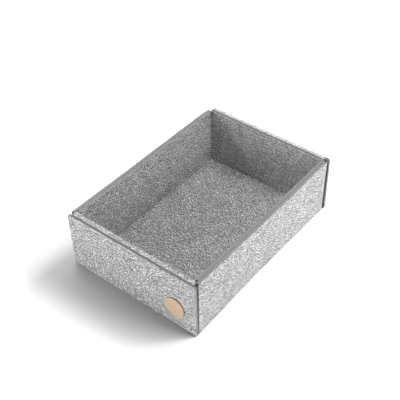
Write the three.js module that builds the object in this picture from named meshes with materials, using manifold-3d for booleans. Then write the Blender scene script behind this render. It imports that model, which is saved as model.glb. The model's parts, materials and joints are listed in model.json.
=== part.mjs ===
// Felt storage tray with rolled-over ends, in millimetres, +Z up.
// The origin is under the middle of the base. +Y points to the rear end, the badge faces -Y.
import * as THREE from 'three';
import { mergeVertices } from 'three/addons/utils/BufferGeometryUtils.js';
import Module from 'manifold-3d';

// Overall sizes
const width = 240;
const length = 351;
const sideHeight = 102;

// The felt sheet, the half cuts that let it fold over, and the round of a bend
const felt = 5;
const scoreDepth = 2.5;
const bendRadius = 2;

// Ends: an outer panel, a rim strip over the top and an inner panel that hangs from the rim
const ledgeDrop = 1.3;
const endCavity = 2;
const endLean = 5;
const panelCornerRadius = 4;
const panelFootRadius = 1;
const rimCornerRadius = 2.5;
const frontFlapInset = 5.5;
const rearFlapInset = 8;

// Sides: an outer panel of the folded sheet and a loose liner that stands inside it
const cornerSlot = 3.2;
const sideCornerRadius = 4;
const linerGap = 0.3;
const linerLean = 5;
const linerEndGapAtTop = 1.5;
const linerEndGapAtFoot = 0.3;

// Badge on the front end
const badgeRadius = 18;
const badgeThickness = 1.5;
const badgeEdgeRadius = 0.4;
const badgeFromRight = 36.5;
const badgeHeight = 37.5;

// Surfaces, and how finely curves are divided
const feltSurface = { color: 0xb4b4b2, roughness: 0.95 };
const badgeSurface = { color: 0xd9b48c, roughness: 0.6 };
const arcSteps = 8;
const badgeSides = 48;

// Levels and depths that the sizes above give
const halfWidth = width / 2;
const halfLength = length / 2;
const ledgeHeight = sideHeight - ledgeDrop;
const rimHeight = ledgeHeight + scoreDepth;
const mitreHeight = ledgeHeight - (felt - scoreDepth);
const innerPanelBack = felt + endCavity;
const innerPanelFace = innerPanelBack + felt;
const rimInnerEdge = innerPanelFace - scoreDepth;

const axisX = new THREE.Vector3(1, 0, 0);
const axisY = new THREE.Vector3(0, 1, 0);
const axisZ = new THREE.Vector3(0, 0, 1);
const minusY = new THREE.Vector3(0, -1, 0);
const minusZ = new THREE.Vector3(0, 0, -1);

const wasm = await Module();
wasm.setup();

function toSolid(geometry) {
  const bare = geometry.clone();
  bare.deleteAttribute('normal');
  bare.deleteAttribute('uv');
  const merged = mergeVertices(bare);
  const mesh = new wasm.Mesh({
    numProp: 3,
    vertProperties: new Float32Array(merged.attributes.position.array),
    triVerts: new Uint32Array(merged.index.array),
  });
  return new wasm.Manifold(mesh);
}

// What two sweeps share: a section carried along the panel and an outline carried through it
function trimmed(section, outline) {
  const { vertProperties, triVerts } = toSolid(section).intersect(toSolid(outline)).getMesh();
  const geometry = new THREE.BufferGeometry();
  geometry.setAttribute('position', new THREE.BufferAttribute(vertProperties, 3));
  geometry.setIndex(new THREE.BufferAttribute(triVerts, 1));
  geometry.computeVertexNormals();
  return geometry;
}

// A shape drawn on the first two directions and swept along the third
function sweep(shape, from, to, right, up, forward) {
  const depth = to - from;
  const geometry = new THREE.ExtrudeGeometry(shape, { depth, bevelEnabled: false, curveSegments: arcSteps });
  geometry.translate(0, 0, from);
  return geometry.applyMatrix4(new THREE.Matrix4().makeBasis(right, up, forward));
}

const alongX = (shape, from, to) => sweep(shape, from, to, axisY, axisZ, axisX);
const alongY = (shape, from, to) => sweep(shape, -to, -from, axisX, axisZ, minusY);
const alongZ = (shape, from, to) => sweep(shape, from, to, axisX, axisY, axisZ);

function polygon(points) {
  return new THREE.Shape(points.map(([a, b]) => new THREE.Vector2(a, b)));
}

// A rectangle with one radius on its two upper corners and another on its two lower ones
function roundedRectangle(left, bottom, right, top, upperRadius, lowerRadius) {
  const shape = new THREE.Shape();
  const corner = (x, y, radius, start) => {
    if (radius > 0) {
      shape.absarc(x, y, radius, start, start + Math.PI / 2);
    } else {
      shape.lineTo(x, y);
    }
  };
  shape.moveTo(left + lowerRadius, bottom);
  corner(right - lowerRadius, bottom + lowerRadius, lowerRadius, -Math.PI / 2);
  corner(right - upperRadius, top - upperRadius, upperRadius, 0);
  corner(left + upperRadius, top - upperRadius, upperRadius, Math.PI / 2);
  corner(left + lowerRadius, bottom + lowerRadius, lowerRadius, Math.PI);
  return shape;
}

// The quarter circle of a bend, from the underside of the sheet up to its outer face
function bendArc(place) {
  const points = [];
  for (let i = 0; i <= arcSteps; i += 1) {
    const angle = (Math.PI / 2) * (i / arcSteps);
    const depth = bendRadius * (1 - Math.sin(angle));
    const height = bendRadius * (1 - Math.cos(angle));
    points.push(place(depth, height));
  }
  return points;
}

const group = new THREE.Group();

function addPiece(name, geometry, surface) {
  const material = new THREE.MeshStandardMaterial({ ...surface, metalness: 0 });
  const piece = new THREE.Mesh(geometry, material);
  piece.name = name;
  group.add(piece);
}

const addFelt = (name, geometry) => addPiece(name, geometry, feltSurface);

// The floor of the folded sheet, between the four outer panels
function addBase() {
  const reachX = halfWidth - felt;
  const reachY = halfLength - felt;
  const outline = roundedRectangle(-reachX, -reachY, reachX, reachY, 0, 0);
  addFelt('base', alongZ(outline, 0, felt));
}

// One end, with direction -1 for the front and 1 for the rear.
// Depth runs inwards from the end's outer face.
function addEnd(end, direction, flapInset) {
  const place = (depth, height) => [direction * (halfLength - depth), height];
  const flapReach = halfWidth - flapInset;

  // The bend and the outer panel, cut half through at the ledge and squeezed to a mitre below it
  const outerSection = polygon([
    ...bendArc(place),
    place(0, ledgeHeight),
    place(scoreDepth, ledgeHeight),
    place(felt, mitreHeight),
    place(felt, 0),
  ]);
  const outerOutline = roundedRectangle(
    -halfWidth, 0, halfWidth, ledgeHeight, panelCornerRadius, panelFootRadius);
  const outerPanel = trimmed(
    alongX(outerSection, -halfWidth, halfWidth), alongY(outerOutline, -halfLength, halfLength));
  addFelt(`${end}_outer_panel`, outerPanel);

  // The rim strip, between the two opened cuts
  const rimSection = polygon([
    place(scoreDepth, rimHeight),
    place(scoreDepth, ledgeHeight),
    place(felt, mitreHeight),
    place(innerPanelBack, mitreHeight),
    place(rimInnerEdge, ledgeHeight),
    place(rimInnerEdge, rimHeight),
  ]);
  const [outerEdgeY] = place(scoreDepth, rimHeight);
  const [innerEdgeY] = place(rimInnerEdge, rimHeight);
  const rimOutline = roundedRectangle(
    -flapReach, Math.min(outerEdgeY, innerEdgeY), flapReach, Math.max(outerEdgeY, innerEdgeY),
    rimCornerRadius, rimCornerRadius);
  const rimStrip = trimmed(alongX(rimSection, -flapReach, flapReach), alongZ(rimOutline, 0, rimHeight));
  addFelt(`${end}_rim_strip`, rimStrip);

  // The inner panel, which springs away from the outer one and stands on the base
  const innerSection = polygon([
    place(rimInnerEdge, ledgeHeight),
    place(innerPanelBack, mitreHeight),
    place(innerPanelBack + endLean, felt),
    place(innerPanelFace + endLean, felt),
    place(innerPanelFace, ledgeHeight),
  ]);
  addFelt(`${end}_inner_panel`, alongX(innerSection, -flapReach, flapReach));
}

// One side, with direction -1 for the left and 1 for the right.
// Depth runs inwards from the side's outer face.
function addSide(side, direction) {
  const place = (depth, height) => [direction * (halfWidth - depth), height];

  const outerReach = halfLength - felt - cornerSlot;
  const outerSection = polygon([
    ...bendArc(place),
    place(0, sideHeight),
    place(felt, sideHeight),
    place(felt, 0),
  ]);
  const outerOutline = roundedRectangle(-outerReach, 0, outerReach, sideHeight, sideCornerRadius, 0);
  const outerPanel = trimmed(
    alongY(outerSection, -outerReach, outerReach), alongX(outerOutline, -halfWidth, halfWidth));
  addFelt(`${side}_outer_panel`, outerPanel);

  // The liner leans in towards its foot, and its ends follow the lean of the end panels
  const linerBack = felt + linerGap;
  const linerSection = polygon([
    place(linerBack, sideHeight),
    place(linerBack + linerLean, felt),
    place(linerBack + felt + linerLean, felt),
    place(linerBack + felt, sideHeight),
  ]);
  const topReach = halfLength - innerPanelFace - linerEndGapAtTop;
  const footReach = halfLength - innerPanelFace - endLean - linerEndGapAtFoot;
  const linerOutline = polygon([
    [-footReach, felt],
    [footReach, felt],
    [topReach, sideHeight],
    [-topReach, sideHeight],
  ]);
  const liner = trimmed(
    alongY(linerSection, -halfLength, halfLength), alongX(linerOutline, -halfWidth, halfWidth));
  addFelt(`${side}_liner`, liner);
}

// The badge is turned on its axis, with its flat back on the front panel
function addBadge() {
  const profile = [new THREE.Vector2(0, 0), new THREE.Vector2(badgeRadius, 0)];
  for (let i = 0; i <= arcSteps; i += 1) {
    const angle = (Math.PI / 2) * (i / arcSteps);
    const radius = badgeRadius - badgeEdgeRadius * (1 - Math.cos(angle));
    const height = badgeThickness - badgeEdgeRadius * (1 - Math.sin(angle));
    profile.push(new THREE.Vector2(radius, height));
  }
  profile.push(new THREE.Vector2(0, badgeThickness));
  const disc = new THREE.LatheGeometry(profile, badgeSides);
  disc.applyMatrix4(new THREE.Matrix4().makeBasis(axisX, minusY, minusZ));
  disc.translate(halfWidth - badgeFromRight, -halfLength, badgeHeight);
  addPiece('badge', disc, badgeSurface);
}

addBase();
addEnd('front', -1, frontFlapInset);
addEnd('rear', 1, rearFlapInset);
addSide('left', -1);
addSide('right', 1);
addBadge();

export default group;
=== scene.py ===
import json
import math

import bmesh
import bpy
from mathutils import Matrix, Vector, noise

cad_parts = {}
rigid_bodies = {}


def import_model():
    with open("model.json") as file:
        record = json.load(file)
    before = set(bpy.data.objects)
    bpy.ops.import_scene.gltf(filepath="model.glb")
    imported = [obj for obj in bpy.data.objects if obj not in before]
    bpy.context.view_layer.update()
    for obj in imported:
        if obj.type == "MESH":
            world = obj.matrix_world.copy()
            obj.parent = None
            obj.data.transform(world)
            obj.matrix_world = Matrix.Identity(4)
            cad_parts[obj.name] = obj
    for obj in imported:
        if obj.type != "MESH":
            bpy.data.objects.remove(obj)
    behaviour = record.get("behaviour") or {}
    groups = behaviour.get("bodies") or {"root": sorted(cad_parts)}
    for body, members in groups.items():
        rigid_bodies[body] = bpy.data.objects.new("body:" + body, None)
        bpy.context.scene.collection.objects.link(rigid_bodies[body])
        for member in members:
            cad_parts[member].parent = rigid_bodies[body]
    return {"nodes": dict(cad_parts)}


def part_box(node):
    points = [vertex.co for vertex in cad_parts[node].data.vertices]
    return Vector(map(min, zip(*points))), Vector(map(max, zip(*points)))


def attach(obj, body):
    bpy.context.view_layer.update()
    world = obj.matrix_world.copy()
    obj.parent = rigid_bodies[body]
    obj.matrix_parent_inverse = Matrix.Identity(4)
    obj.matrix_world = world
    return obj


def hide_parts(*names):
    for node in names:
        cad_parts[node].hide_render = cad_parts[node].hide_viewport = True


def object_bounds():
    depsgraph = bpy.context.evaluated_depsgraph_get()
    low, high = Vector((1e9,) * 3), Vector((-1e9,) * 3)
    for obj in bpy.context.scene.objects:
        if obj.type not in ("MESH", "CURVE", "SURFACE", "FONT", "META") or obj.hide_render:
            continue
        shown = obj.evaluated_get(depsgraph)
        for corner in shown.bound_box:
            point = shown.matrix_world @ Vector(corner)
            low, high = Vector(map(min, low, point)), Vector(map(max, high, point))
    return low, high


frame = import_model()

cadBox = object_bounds()
mm = 0.001
scene = bpy.context.scene
print("frame loaded:", len(frame["nodes"]), "nodes")


# the camera stands where the photograph was taken: places in mm, roll in degrees
viewpoint = dict(
    place=(560.92, -732.32, 891.38),
    target=(-11.14, 4.98, 60.72),
    roll=0.1413,
    lens=70.663,
    sensor=36,
    shift=(-0.0017, 0.0027),
    nearest=0.05,
    farthest=20,
)


def setCamera():
    lens = bpy.data.cameras.new("viewpoint")
    lens.lens = viewpoint["lens"]
    lens.sensor_width = viewpoint["sensor"]
    lens.shift_x, lens.shift_y = viewpoint["shift"]
    lens.clip_start = viewpoint["nearest"]
    lens.clip_end = viewpoint["farthest"]
    camera = bpy.data.objects.new("viewpoint", lens)
    scene.collection.objects.link(camera)
    place = Vector(viewpoint["place"]) * mm
    back = (place - Vector(viewpoint["target"]) * mm).normalized()
    right = (-back).cross(Vector((0, 0, 1))).normalized()
    up = back.cross(right)
    turn = math.radians(viewpoint["roll"])
    level = right * math.cos(turn) + up * math.sin(turn)
    upright = up * math.cos(turn) - right * math.sin(turn)
    pose = Matrix((level, upright, back)).transposed().to_4x4()
    pose.translation = place
    camera.matrix_world = pose
    scene.camera = camera


setCamera()
print("camera set")


# shader maths: a socket that takes part in sums
class Flow:
    def __init__(self, paint, socket):
        self.paint = paint
        self.socket = socket

    def maths(self, operation, first, second):
        return self.paint.node("Math", dict(operation=operation), {0: first, 1: second})

    def __add__(self, other):
        return self.maths("ADD", self, other)

    def __radd__(self, other):
        return self.maths("ADD", other, self)

    def __sub__(self, other):
        return self.maths("SUBTRACT", self, other)

    def __rsub__(self, other):
        return self.maths("SUBTRACT", other, self)

    def __mul__(self, other):
        return self.maths("MULTIPLY", self, other)

    def __rmul__(self, other):
        return self.maths("MULTIPLY", other, self)


# one material's nodes, each made by node(): type, settings, then sockets
class Paint:
    def __init__(self, name):
        self.material = bpy.data.materials.new(name)
        self.material.use_nodes = True
        self.tree = self.material.node_tree
        self.tree.nodes.clear()

    def node(self, kind, settings=None, sockets=None, output=0):
        made = self.tree.nodes.new("ShaderNode" + kind)
        for name, value in (settings or {}).items():
            setattr(made, name, value)
        for name, value in (sockets or {}).items():
            if isinstance(value, Flow):
                self.tree.links.new(value.socket, made.inputs[name])
            else:
                made.inputs[name].default_value = value
        return Flow(self, made.outputs[output]) if made.outputs else None

    def vector(self, operation, sockets):
        return self.node("VectorMath", dict(operation=operation), sockets)

    def smoothStep(self, value, low, high):
        return self.node(
            "MapRange", dict(interpolation_type="SMOOTHSTEP"), {0: value, 1: low, 2: high, 3: 0, 4: 1})

    def blend(self, factor, first, second):
        return self.node("Mix", dict(data_type="RGBA"), {0: factor, 6: first, 7: second}, 2)

    def grey(self, value):
        return self.node("CombineColor", None, {0: value, 1: value, 2: value})

    def clouds(self, place, scale, output=0):
        return self.node("TexNoise", None, {"Vector": place, "Scale": scale, "Detail": 1.0}, output)

    def bump(self, strength, depth, height):
        return self.node("Bump", None, {"Strength": strength, "Distance": depth * mm, "Height": height})

    # where a point lies on the flat sheet, as feltPiece() stores it
    def sheetPlace(self):
        return self.node("Attribute", dict(attribute_name="sheetPlace"), None, 1)

    def finish(self, shader):
        self.node("OutputMaterial", None, {0: shader})
        return self.material


def most(values):
    result = values[0]
    for other in values[1:]:
        result = result.maths("MAXIMUM", result, other)
    return result


# a layer of soft marks, in cells of a length and width in mm that turn in the plane of the sheet
def strands(paint, place, turn, cell, seed, edges, dimensions):
    length, width = cell
    moved = paint.node("Mapping", dict(vector_type="TEXTURE"), {
        0: place,
        1: (seed * 0.37, seed * 0.61, seed * 0.13),
        2: (0, 0, turn),
        3: (length * mm, width * mm, width * mm),
    })
    found = paint.node(
        "TexNoise", dict(noise_dimensions=dimensions), {"Vector": moved, "Scale": 1, "Detail": 0.0})
    return paint.smoothStep(found, *edges)


# the felt's skin: pale wisps, dark flecks and fine fibres in the plane of the sheet, and wider
# clouds, with sizes in mm
skin = dict(
    ground=0.66,
    light=0.87,
    dark=0.43,
    wisp=(6.5, 2.2),
    wispEdges=(0.57, 0.65),
    fleck=(6.0, 2.2),
    fleckEdges=(0.57, 0.65),
    fibre=(2.3, 1.05),
    fibreEdges=(0.3, 0.7),
    fibreShare=0.66,
    layers=4,
    spread=0.25,
    cloudSize=14.0,
    cloud=0.65,
    driftSize=8.0,
    drift=1.8,
    middle=0.6,
    darkest=0.03,
    relief=0.35,
    reliefDepth=0.2,
    roughness=0.95,
    gloss=0.15,
)


def feltSkin(name, brightness, contrast):
    paint = Paint(name)
    place = paint.sheetPlace()
    drift = paint.clouds(place, 1 / (skin["driftSize"] * mm), 1)
    drift = paint.vector("SUBTRACT", {0: drift, 1: (0.5, 0.5, 0.5)})
    drift = paint.vector("SCALE", {0: drift, 3: skin["drift"] * mm})
    wandering = paint.vector("ADD", {0: place, 1: drift})

    def layer(kind, turn, seed):
        return strands(paint, wandering, turn, skin[kind], seed, skin[kind + "Edges"], "2D")

    wisps, flecks, fibres = [], [], []
    for i in range(skin["layers"]):
        turn = (i - (skin["layers"] - 1) / 2) * skin["spread"]
        wisps.append(layer("wisp", turn, 3 + i))
        flecks.append(layer("fleck", turn, 11 + i))
        fibres.append(layer("fibre", turn + math.pi / 2, 17 + i))
    pale = most(wisps)
    dark = most(flecks)
    fine = sum(fibres[1:], fibres[0])
    cloud = paint.clouds(place, 1 / (skin["cloudSize"] * mm))
    tone = skin["ground"] + pale * (skin["light"] - skin["ground"])
    tone = tone + dark * (skin["dark"] - tone)
    tone = tone + (fine - skin["layers"] / 2) * skin["fibreShare"]
    tone = skin["middle"] + (tone - skin["middle"]) * contrast
    tone = tone * (brightness + (cloud - 0.5) * (brightness * skin["cloud"]))
    shader = paint.node("BsdfPrincipled", None, {
        "Base Color": paint.grey(most([tone, skin["darkest"]])),
        "Roughness": skin["roughness"],
        "Specular IOR Level": skin["gloss"],
        "Normal": paint.bump(skin["relief"], skin["reliefDepth"], pale - dark + fine),
    })
    return paint.finish(shader)


# the felt's cut edge: smoother and darker than the skin, with streaks and small specks
cut = dict(
    edge=0.365,
    # the scored faces' tone is a cut edge's, darkened further as painted shade in the grooves and slots
    scoredShade=0.29,
    # painted shade: a near-black tone for faces deep in the corner slots, inside the folds and at the
    # liners' ends
    paintedShade=0.12,
    variation=0.35,
    balance=0.7,
    streak=(5.0, 0.5),
    streakTurn=0.3,
    streakEdges=(0.35, 0.68),
    speck=(1.6, 1.0),
    speckTurns=(0.2, 1.3, 2.4),
    speckEdges=(0.52, 0.66),
    relief=0.4,
    reliefDepth=0.25,
    roughness=0.97,
    gloss=0.1,
)


def feltCut(name, brightness):
    paint = Paint(name)
    place = paint.sheetPlace()
    streak = strands(paint, place, cut["streakTurn"], cut["streak"], 5, cut["streakEdges"], "3D")
    specks = []
    for turn in cut["speckTurns"]:
        specks.append(strands(paint, place, turn, cut["speck"], 7 + turn, cut["speckEdges"], "3D"))
    marks = streak + most(specks)
    tone = brightness * (1 - cut["balance"] * cut["variation"]) + marks * (brightness * cut["variation"])
    shader = paint.node("BsdfPrincipled", None, {
        "Base Color": paint.grey(tone),
        "Roughness": cut["roughness"],
        "Specular IOR Level": cut["gloss"],
        "Normal": paint.bump(cut["relief"], cut["reliefDepth"], marks),
    })
    return paint.finish(shader)


# brightness and contrast of each skin; felt is the one on the floor and the liners
tones = dict(
    felt=(0.815, 1.0),
    side=(0.81, 1.12),
    end=(0.79, 1.4),
    # painted shade: the inner panels' skin has less contrast, as the felt looks in the shade inside the
    # tray
    inner=(0.8, 0.74),
    # painted light: the rim strips' tops are lighter than the felt they are cut from, the rear one most,
    # as light falls on them
    frontRim=(1.08, 0.6),
    rearRim=(1.35, 0.6),
)
skins = {name: feltSkin(name + "Skin", *tone) for name, tone in tones.items()}
cutFelt = feltCut("feltCut", cut["edge"])
# the scored cut faces, darker than a cut edge by painted shade, and the faces deep in the slots, nearly
# black with painted shade
scoredShadeFelt = feltCut("feltScoredShade", cut["scoredShade"])
paintedShadeFelt = feltCut("feltPaintedShade", cut["paintedShade"])
print("felt made")


# how the real tray departs from a straight box, in mm: shifts at four places along each long
# edge, a slow wave and a ragged surface, and how its felt is divided and rounded
sheet = dict(
    leftFoot=[(1.3, 0, 0), (1.3, -0.3, 0), (1.1, -0.5, 0), (0.5, -0.6, 0)],
    leftTop=[(0.4, -0.2, -0.2), (0.2, -0.1, -0.4), (0, 0.3, 0.2), (0.4, 1.6, 2.0)],
    rightFoot=[(2.1, 0, 0), (0.4, -0.2, 0), (-0.4, -0.3, 0), (1.1, 0.6, 0)],
    rightTop=[(0, 0.3, 0), (0.3, 0.2, 0), (0.6, 0.5, 0.4), (0.1, 1.3, 1.9)],
    wave=0.35,
    waveLength=75.0,
    ragged=0.12,
    raggedLength=4.0,
    seed=2,
    waveRise=20,  # the height over which the wave's upright part grows
    spacing=5.0,
    edgeRound=0.8,
    roundSteps=3,
    roundAngle=40,
    sharpAngle=42,
)
noise.seed_set(sheet["seed"])  # without a seed, noise_vector changes with the time
boxLow, boxHigh = cadBox
boxSize = boxHigh - boxLow


def settled(point):
    share = [min(1, max(0, (point[i] - boxLow[i]) / boxSize[i])) for i in range(3)]
    spans = len(sheet["leftFoot"]) - 1
    step = min(spans - 1, int(share[1] * spans))
    part = share[1] * spans - step
    edges = []
    for name in ("leftFoot", "rightFoot", "leftTop", "rightTop"):
        edges.append(Vector(sheet[name][step]).lerp(Vector(sheet[name][step + 1]), part))
    foot = edges[0].lerp(edges[1], share[0])
    top = edges[2].lerp(edges[3], share[0])
    moved = Vector(point) + foot.lerp(top, share[2]) * mm
    lift = min(1, point[2] / (sheet["waveRise"] * mm))
    for name in ("wave", "ragged"):
        swing = noise.noise_vector(Vector(point) / (sheet[name + "Length"] * mm)) * (sheet[name] * mm)
        moved += Vector((swing.x, swing.y, swing.z * lift))
    moved.z = max(0, moved.z)
    return moved


# rounds the arrises that soft() picks by their direction and place
def roundArrises(mesh, soft):
    arrises = []
    for edge in mesh.edges:
        if edge.calc_face_angle(0) > math.radians(sheet["roundAngle"]):
            normal = (edge.link_faces[0].normal + edge.link_faces[1].normal).normalized()
            if soft(normal, (edge.verts[0].co + edge.verts[1].co) / 2 / mm):
                arrises.append(edge)
    bmesh.ops.bevel(
        mesh, geom=arrises, offset=sheet["edgeRound"] * mm, offset_type="OFFSET",
        segments=sheet["roundSteps"], profile=0.5, affect="EDGES", clamp_overlap=True, material=-1)


# cuts the faces into a grid that can bow and wave
def divide(mesh):
    for axis in range(3):
        places = [vert.co[axis] for vert in mesh.verts]
        start, end = min(places), max(places)
        count = int((end - start) / (sheet["spacing"] * mm))
        normal = Vector((0, 0, 0))
        normal[axis] = 1
        for i in range(1, count):
            level = Vector((0, 0, 0))
            level[axis] = start + (end - start) * i / count
            parts = mesh.verts[:] + mesh.edges[:] + mesh.faces[:]
            bmesh.ops.bisect_plane(mesh, geom=parts, plane_co=level, plane_no=normal, dist=1e-6)


# turns a finished mesh into the piece that stands for a node
def makePiece(name, mesh, materials, node):
    for part in mesh.faces:
        part.smooth = True
    data = bpy.data.meshes.new(name)
    mesh.to_mesh(data)
    mesh.free()
    data.set_sharp_from_angle(angle=math.radians(sheet["sharpAngle"]))
    for material in materials:
        data.materials.append(material)
    piece = bpy.data.objects.new(name, data)
    scene.collection.objects.link(piece)
    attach(piece, "root")
    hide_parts(node)
    return piece


def never(normal, place):
    return False


# how far the felt's wisps turn from the first of a piece's axes, in radians
grain = dict(base=0.03, ends=-0.59, rims=0.0, inners=-0.52, sides=0.08, liners=0.33)
# the third material is the scored cut darkened by painted shade, the fourth is near-black painted shade
skinMaterial, cutMaterial, scoredShadeMaterial, paintedShadeMaterial = 0, 1, 2, 3
facing = 0.5  # a face looks along an axis where its normal does by more than this
skinFacing = 0.6  # and a skin looks out of the sheet by more than this


# a felt piece from its node: two of the axes lie in the sheet and the third goes through it, offset
# says where on the flat sheet the piece is cut, soft picks edges, and three pickers choose faces: for
# the scored tone, a cut face darkened by painted shade; for the near-black painted shade; and for the
# joint, which takes the scored tone as a line of painted shade; trim moves points, all by places in mm
def feltPiece(
        name, node, axes, turn, offset, face,
        soft=never, scoredShade=never, paintedShade=never, seamShade=never, trim=None):
    mesh = bmesh.new()
    mesh.from_mesh(frame["nodes"][node].data)
    bmesh.ops.remove_doubles(mesh, verts=mesh.verts, dist=2e-6)
    bmesh.ops.dissolve_limit(mesh, angle_limit=math.radians(0.5), verts=mesh.verts, edges=mesh.edges)
    first, second, through = [Vector(axis) for axis in axes]
    across = first * math.cos(turn) + second * math.sin(turn)
    along = second * math.cos(turn) - first * math.sin(turn)
    for part in mesh.faces:
        place = part.calc_center_median() / mm
        flat = abs(part.normal.dot(through)) > skinFacing
        part.material_index = skinMaterial if flat else cutMaterial
        if scoredShade(part.normal, place):
            part.material_index = scoredShadeMaterial
        if paintedShade(part.normal, place):
            part.material_index = paintedShadeMaterial
    roundArrises(mesh, soft)
    for part in mesh.faces:
        if seamShade(part.normal, part.calc_center_median() / mm):
            part.material_index = scoredShadeMaterial
    divide(mesh)
    layer = mesh.verts.layers.float_vector.new("sheetPlace")
    for vert in mesh.verts:
        place = Vector((vert.co.dot(across), vert.co.dot(along), vert.co.dot(through)))
        vert[layer] = place + Vector(offset) * mm
        if trim:
            vert.co = Vector(trim(*(vert.co / mm))) * mm
        vert.co = settled(vert.co)
    piece = makePiece(name, mesh, (face, cutFelt, scoredShadeFelt, paintedShadeFelt), node)
    weighted = piece.modifiers.new("flatFaces", "WEIGHTED_NORMAL")
    weighted.keep_sharp = True


x, y, z = (1, 0, 0), (0, 1, 0), (0, 0, 1)

feltPiece("floorPanel", "base", (x, y, z), grain["base"], (0, 0, 0), skins["felt"])
print("floor laid")


# the nodes' own sizes, and what the ends and sides share, in mm
tray = dict(
    halfWidth=120,
    halfLength=175.5,
    height=102,
    lowestLevel=6,  # just above the base
    bend=0.45,  # how deep the bend at the foot is beside the node's
    bendSize=2,
    rearLeftDrop=2.2,
    dropFrom=60,
    dropHeight=40,
)


def tightBend(depth, height):
    if depth < tray["bendSize"] and height < tray["bendSize"]:
        return depth * tray["bend"]
    return depth


# turns the foot's square corner, of which u runs outwards and v down, into a round one
def rounded(px, pz, radius):
    start = tray["halfWidth"] - radius
    u, v = abs(px) - start, radius - pz
    if u <= 0 or v <= 0:
        return px, pz
    pull = max(u, v) / math.hypot(u, v)
    return math.copysign(start + u * pull, px), radius - v * pull


def rearLeftShare(pz):
    return max(0, pz - tray["dropFrom"]) / tray["dropHeight"]


# the ends, in mm: how far each corner departs from its node, and where it begins
ends = dict(
    bendTop=3,
    hinge=97,
    hingeFrom=2,
    hingeTo=5.5,
    hingeReach=119,
    foldTop=98,
    panelInside=4.5,
    rimArris=101.5,
    rimFace=103,
    flapFoot=10,
    flapFace=11,
    flapSide=100,
    frontRight=115,
    frontReach=1.0,
    frontThin=1.0,
    frontLeft=-110,
    frontLeftFlare=2.0,
    frontLeftRound=6.0,
    flareFrom=0.15,  # a share of the height, as the next one is
    flareRise=0.65,
    frontRimInside=-168,
    frontRimLeft=1.8,
    frontRimRight=0.2,
    rearRight=110,
    rearRightRound=3.0,
    rearFootReach=1.5,
    rearTopReach=-0.1,
    rearLeft=-106,
    rearLeftWidth=14,
    rearLeftInset=2.0,
    rearFlapLeft=-108,
    rearRimReach=1.8,
    rearFlapReach=1,
    rearFlapGap=1.0,
    gapFrom=70,
    gapRise=30,
)


# the half cuts open at the rim, where their faces and the panels' side edges are darkened by painted
# shade, and the faces inside the fold are nearly black with painted shade
def foldEnd(end, direction):
    front = direction < 0

    def depth(place):
        return tray["halfLength"] - direction * place.y

    def outerSoft(normal, place):
        inside = depth(place) > ends["panelInside"]
        atFoot = place.z < ends["bendTop"] or inside and place.z < tray["lowestLevel"]
        inHinge = place.z > ends["hinge"] and ends["hingeFrom"] < depth(place) < ends["hingeTo"]
        return not (atFoot or inHinge and abs(place.x) < ends["hingeReach"])

    # painted shade: the panel's side edges and the opened half cut at the hinge take the darker scored
    # tone
    def outerScoredShade(normal, place):
        return abs(normal.x) > facing or place.z > ends["hinge"] and depth(place) > 1

    # painted shade: the panel's inward faces inside the fold take the near-black tone
    def outerPaintedShade(normal, place):
        return normal.y * direction < -skinFacing and place.z < ends["foldTop"]

    def outerReach(px, py, pz):
        inwards = tightBend(tray["halfLength"] - direction * py, pz)
        rise = pz / tray["height"]
        if front and px > ends["frontRight"]:
            px -= ends["frontReach"] * rise
            inwards -= ends["frontThin"] if inwards > ends["panelInside"] else 0
        if front and px < ends["frontLeft"]:
            px, pz = rounded(px, pz, ends["frontLeftRound"])
            px -= ends["frontLeftFlare"] * min(1, max(0, (rise - ends["flareFrom"]) / ends["flareRise"]))
        if not front and px > ends["rearRight"]:
            px, pz = rounded(px, pz, ends["rearRightRound"])
            px += ends["rearFootReach"] * (1 - rise) + ends["rearTopReach"] * rise
        if not front and px < ends["rearLeft"]:
            share = (ends["rearLeft"] - px) / ends["rearLeftWidth"] * rearLeftShare(pz)
            pz -= tray["rearLeftDrop"] * share
            px += ends["rearLeftInset"] * share
        return (px, direction * (tray["halfLength"] - inwards), pz)

    def rimSoft(normal, place):
        return place.z > ends["rimArris"]

    # painted shade: the strip's lower faces in the opened cut take the darker scored tone
    def rimScoredShade(normal, place):
        return place.z < ends["rimFace"] and abs(normal.x) < facing

    def rimReach(px, py, pz):
        if front and py > ends["frontRimInside"]:
            share = (px + tray["halfWidth"]) / (2 * tray["halfWidth"])
            py += ends["frontRimLeft"] + (ends["frontRimRight"] - ends["frontRimLeft"]) * share
        if not front and px < ends["rearFlapLeft"]:
            px -= ends["rearRimReach"]
        return (px, py, pz)

    def innerSoft(normal, place):
        below = place.z < ends["foldTop"]
        above = place.z > tray["lowestLevel"]
        atFoot = below and depth(place) > ends["flapFoot"]
        atFace = above and depth(place) > ends["flapFace"]
        return atFoot or atFace or above and below and abs(place.x) > ends["flapSide"]

    def innerReach(px, py, pz):
        if not front and px < ends["rearFlapLeft"]:
            share = min(1, max(0, (pz - ends["gapFrom"]) / ends["gapRise"]))
            px += ends["rearFlapGap"] * math.sin(math.pi * share) - ends["rearFlapReach"]
        return (px, py, pz)

    middle = 500 + 300 * direction
    feltPiece(
        end + "OuterPanel", end + "_outer_panel", (x, z, y), grain["ends"], (middle, 100, 0),
        skins["end"], soft=outerSoft, scoredShade=outerScoredShade, paintedShade=outerPaintedShade, trim=outerReach)
    feltPiece(
        end + "RimStrip", end + "_rim_strip", (x, y, z), grain["rims"], (middle, 400, 0),
        skins[end + "Rim"], soft=rimSoft, scoredShade=rimScoredShade, trim=rimReach)
    feltPiece(
        end + "InnerPanel", end + "_inner_panel", (x, z, y), grain["inners"], (middle, 700, 0),
        skins["inner"], soft=innerSoft, trim=innerReach)


foldEnd("front", -1)
foldEnd("rear", 1)
print("ends folded")


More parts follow.
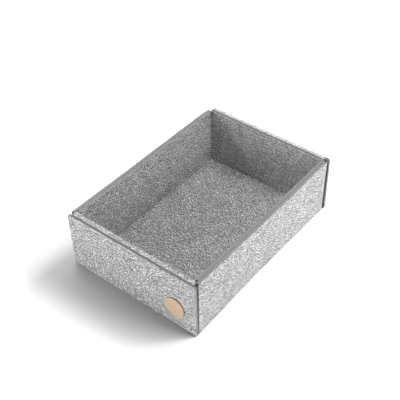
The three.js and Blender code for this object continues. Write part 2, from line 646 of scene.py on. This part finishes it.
# the sides and liners, in mm: how far each end departs from its node, and where it begins
sides = dict(
    seamLevel=101.2,
    seamFrom=113.8,
    seamTo=115.9,
    seamTilt=0.1,
    shadeFrom=92,
    cornerStart=163.3,
    cornerLevel=98,
    square=0.2,
    dropStart=140,
    dropLength=26,
    slotStart=160,
    rearSlot=1.0,
    rearSlotBow=1.3,
    bowHeight=50,
    frontReach=1.0,
    frontFootReach=2.2,
    footHeight=90,
    linerStart=155,
    linerReach=1.2,
    linerMiddle=112.2,
    linerLean=5,
    linerHeight=97,
    pinchStart=100,
    pinchLength=62,
    rearLeftPinch=1.6,
)


def sideSoft(normal, place):
    return place.z > tray["lowestLevel"]


# painted shade: the lower part of the side's end faces, in the corner slot, takes the darker scored tone
def sideScoredShade(normal, place):
    return abs(normal.y) > facing and place.z < sides["shadeFrom"]


# painted shade: the upper part of the side's end faces, deep in the corner hole, takes the near-black
# tone
def sidePaintedShade(normal, place):
    return abs(normal.y) > facing and place.z > sides["shadeFrom"]


# painted shade: the liners' end faces take the near-black tone
def linerPaintedShade(normal, place):
    return abs(normal.y) > facing


# the rounded arrises along the joint between a side panel and its liner, which take the scored tone as a
# line of painted shade
def sideSeamShade(normal, place):
    beside = sides["seamFrom"] < abs(place.x) < sides["seamTo"]
    return beside and place.z > sides["seamLevel"] and abs(normal.x) > sides["seamTilt"]


# the side's upper corners are squarer than the node's, and both its ends lie further forward
def sideReach(px, py, pz):
    beyond, above = abs(py) - sides["cornerStart"], pz - sides["cornerLevel"]
    if beyond > 0 and above > 0:
        push = 1 + sides["square"] * 2 * beyond * above / (beyond ** 2 + above ** 2)
        py = math.copysign(sides["cornerStart"] + beyond * push, py)
        pz = sides["cornerLevel"] + above * push
    if px < 0 and py > sides["dropStart"]:
        share = ((py - sides["dropStart"]) / sides["dropLength"]) ** 2
        pz -= tray["rearLeftDrop"] * share * rearLeftShare(pz)
    px = math.copysign(tray["halfWidth"] - tightBend(tray["halfWidth"] - abs(px), pz), px)
    if py > sides["slotStart"]:
        py -= sides["rearSlot"]
        if px > 0:
            py -= sides["rearSlotBow"] * min(1, pz / sides["bowHeight"])
    if py < -sides["slotStart"]:
        share = min(1, pz / sides["footHeight"])
        py -= sides["frontFootReach"] + (sides["frontReach"] - sides["frontFootReach"]) * share
    return (px, py, pz)


def linerReach(px, py, pz):
    middle = sides["linerLean"] * (tray["height"] - pz) / sides["linerHeight"] - sides["linerMiddle"]
    if middle < px < 0 and py > sides["pinchStart"]:
        px -= sides["rearLeftPinch"] * (py - sides["pinchStart"]) / sides["pinchLength"]
    if py < -sides["linerStart"]:
        py -= sides["linerReach"] * pz / tray["height"]
    return (px, py, pz)


# the folded panels stop short of the ends, and the liners stand against them
for side, direction in (("left", -1), ("right", 1)):
    middle = 500 + 300 * direction
    feltPiece(
        side + "OuterPanel", side + "_outer_panel", (y, z, x), grain["sides"], (-900, middle, 0),
        skins["side"], soft=sideSoft, scoredShade=sideScoredShade, paintedShade=sidePaintedShade, seamShade=sideSeamShade, trim=sideReach)
    feltPiece(
        side + "Liner", side + "_liner", (y, z, x), grain["liners"], (-1500, middle, 0),
        skins["felt"], soft=sideSoft, paintedShade=linerPaintedShade, seamShade=sideSeamShade, trim=linerReach)
print("sides and liners placed")


# the badge: a disc with a rounded rim, a tan face and a dark cut edge, with sizes in mm
badge = dict(
    radius=17.8,
    thickness=1.5,
    edgeRound=0.35,
    roundSteps=4,
    edgeRings=3,
    rings=8,
    parts=72,
    across=-2.3,
    lift=-0.5,
    face=((0.62, 0.45, 0.29, 1), (0.76, 0.57, 0.39, 1)),
    faceGrain=900,  # marks in a metre
    faceRelief=0.2,
    faceReliefDepth=0.1,
    faceRoughness=0.6,
    edge=((0.12, 0.075, 0.045, 1), (0.22, 0.14, 0.09, 1)),
    edgeGrain=1500,
    edgeRoughness=0.7,
)


def badgeFace():
    paint = Paint("badgeFace")
    grained = paint.clouds(paint.node("TexCoord", None, None, 3), badge["faceGrain"])
    shader = paint.node("BsdfPrincipled", None, {
        "Base Color": paint.blend(grained, *badge["face"]),
        "Roughness": badge["faceRoughness"],
        "Normal": paint.bump(badge["faceRelief"], badge["faceReliefDepth"], grained),
    })
    return paint.finish(shader)


def badgeEdge():
    paint = Paint("badgeEdge")
    grained = paint.clouds(paint.node("TexCoord", None, None, 3), badge["edgeGrain"])
    shader = paint.node("BsdfPrincipled", None, {
        "Base Color": paint.blend(grained, *badge["edge"]),
        "Roughness": badge["edgeRoughness"],
    })
    return paint.finish(shader)


# radius and height from the back of the disc, round its rim and towards the middle of its face
def badgeProfile():
    profile = [(badge["radius"], 0)]
    for i in range(badge["roundSteps"] + 1):
        angle = math.pi / 2 * i / badge["roundSteps"]
        profile.append((
            badge["radius"] - badge["edgeRound"] * (1 - math.cos(angle)),
            badge["thickness"] - badge["edgeRound"] * (1 - math.sin(angle))))
    for i in range(1, badge["rings"]):
        profile.append((badge["radius"] * (1 - i / badge["rings"]), badge["thickness"]))
    return profile


def makeBadge():
    nearCorner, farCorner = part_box("badge")
    middle = (nearCorner + farCorner) / 2
    centre = Vector((middle.x, farCorner.y, middle.z))
    mesh = bmesh.new()
    loops = []
    for radius, height in badgeProfile():
        loop = []
        for i in range(badge["parts"]):
            angle = 2 * math.pi * i / badge["parts"]
            right = badge["across"] + radius * math.cos(angle)
            up = badge["lift"] + radius * math.sin(angle)
            loop.append(mesh.verts.new(centre + Vector((right, -height, up)) * mm))
        loops.append(loop)
    for k in range(len(loops) - 1):
        for i in range(badge["parts"]):
            j = (i + 1) % badge["parts"]
            face = mesh.faces.new((loops[k][i], loops[k][j], loops[k + 1][j], loops[k + 1][i]))
            face.material_index = 1 if k < badge["edgeRings"] else 0
    mesh.faces.new(loops[0]).material_index = 1
    mesh.faces.new(loops[-1])
    bmesh.ops.recalc_face_normals(mesh, faces=mesh.faces)
    for vert in mesh.verts:
        vert.co = settled(vert.co)
    makePiece("badgeDisc", mesh, (badgeFace(), badgeEdge()), "badge")


makeBadge()
print("badge placed")


# studio: soft lamps round the tray, others for the floor and the shadow on it, in metres
studio = dict(
    floorTone=0.28,
    floorSeen=0.35,
    floorReach=4,
    floorLevel=-0.0002,
    world=0.0,
    distance=1.6,
    aim=(0, 0, 0.05),
    trayLamps=[
        dict(name="lowFront", azimuth=-120, elevation=8, size=0.9, power=14.7),
        dict(name="left", azimuth=-170, elevation=45, size=0.9, power=6.2),
        dict(name="lowCorner", azimuth=-45, elevation=5, size=0.9, power=3.9),
        dict(name="lowRight", azimuth=20, elevation=5, size=0.9, power=3.3),
        dict(name="right", azimuth=0, elevation=25, size=0.9, power=9.9),
        dict(name="rear", azimuth=100, elevation=70, size=0.9, power=7.1),
        dict(name="above", azimuth=100, elevation=85, size=0.9, power=5.0),
        dict(name="below", azimuth=0, elevation=-90, size=0.9, power=5.0),
    ],
    floorLamps=[
        dict(name="floorLeft", azimuth=-170, elevation=45, size=2.5, power=46.5),
        dict(name="floorRear", azimuth=100, elevation=55, size=2.5, power=49.3),
        dict(name="floorRight", azimuth=20, elevation=25, size=0.9, power=46.0),
        dict(name="floorKey", azimuth=60, elevation=55, size=0.9, power=34.3),
        dict(name="floorCorner", azimuth=40, elevation=45, size=0.4, power=31.1),
        dict(name="floorBehind", azimuth=80, elevation=45, size=0.4, power=28.3),
    ],
)


# a lamp lights only the objects in lit, and the one below shines through the floor
def addLamp(name, azimuth, elevation, size, power, lit):
    light = bpy.data.lights.new(name, "AREA")
    light.shape = "DISK"
    light.size = size
    light.energy = power
    lamp = bpy.data.objects.new(name, light)
    scene.collection.objects.link(lamp)
    turn, lift = math.radians(azimuth), math.radians(elevation)
    away = Vector((math.cos(turn) * math.cos(lift), math.sin(turn) * math.cos(lift), math.sin(lift)))
    lamp.location = Vector(studio["aim"]) + away * studio["distance"]
    lamp.rotation_mode = "QUATERNION"
    lamp.rotation_quaternion = away.to_track_quat("Z", "Y")
    lamp.light_linking.receiver_collection = lit
    if elevation < 0:
        lamp.light_linking.blocker_collection = lit


# the floor is paler to the camera than to the light, and clear from below
def addFloor():
    paint = Paint("paleFloor")
    seen = paint.node("LightPath", None, None, 0)
    behind = paint.node("NewGeometry", None, None, 6)
    shades = []
    for tone in (studio["floorTone"], studio["floorSeen"]):
        shades.append(paint.node("BsdfDiffuse", None, {"Color": (tone, tone, tone, 1)}))
    front = paint.node("MixShader", None, {0: seen, 1: shades[0], 2: shades[1]})
    clear = paint.node("BsdfTransparent")
    material = paint.finish(paint.node("MixShader", None, {0: behind, 1: front, 2: clear}))
    data = bpy.data.meshes.new("paleFloor")
    reach = studio["floorReach"]
    places = [(-reach, -reach, 0), (reach, -reach, 0), (reach, reach, 0), (-reach, reach, 0)]
    data.from_pydata(places, [], [(0, 1, 2, 3)])
    data.materials.append(material)
    floor = bpy.data.objects.new("paleFloor", data)
    floor.location.z = studio["floorLevel"]
    scene.collection.objects.link(floor)


# the world is pale to the camera and sheds no light of its own
def addWorld():
    world = bpy.data.worlds.new("studio")
    scene.world = world
    world.use_nodes = True
    tree = world.node_tree
    tree.nodes.clear()
    path = tree.nodes.new("ShaderNodeLightPath")
    soft = tree.nodes.new("ShaderNodeBackground")
    soft.inputs[1].default_value = studio["world"]
    white = tree.nodes.new("ShaderNodeBackground")
    mix = tree.nodes.new("ShaderNodeMixShader")
    out = tree.nodes.new("ShaderNodeOutputWorld")
    tree.links.new(path.outputs[0], mix.inputs[0])
    tree.links.new(soft.outputs[0], mix.inputs[1])
    tree.links.new(white.outputs[0], mix.inputs[2])
    tree.links.new(mix.outputs[0], out.inputs[0])


addFloor()
addWorld()
trayGroup = bpy.data.collections.new("tray")
floorGroup = bpy.data.collections.new("ground")
for thing in scene.objects:
    if thing.type == "MESH" and not thing.hide_render:
        group = floorGroup if thing.name == "paleFloor" else trayGroup
        group.objects.link(thing)
for lamp in studio["trayLamps"]:
    addLamp(**lamp, lit=trayGroup)
for lamp in studio["floorLamps"]:
    addLamp(**lamp, lit=floorGroup)
scene.view_settings.view_transform = "Standard"
print("studio lit")
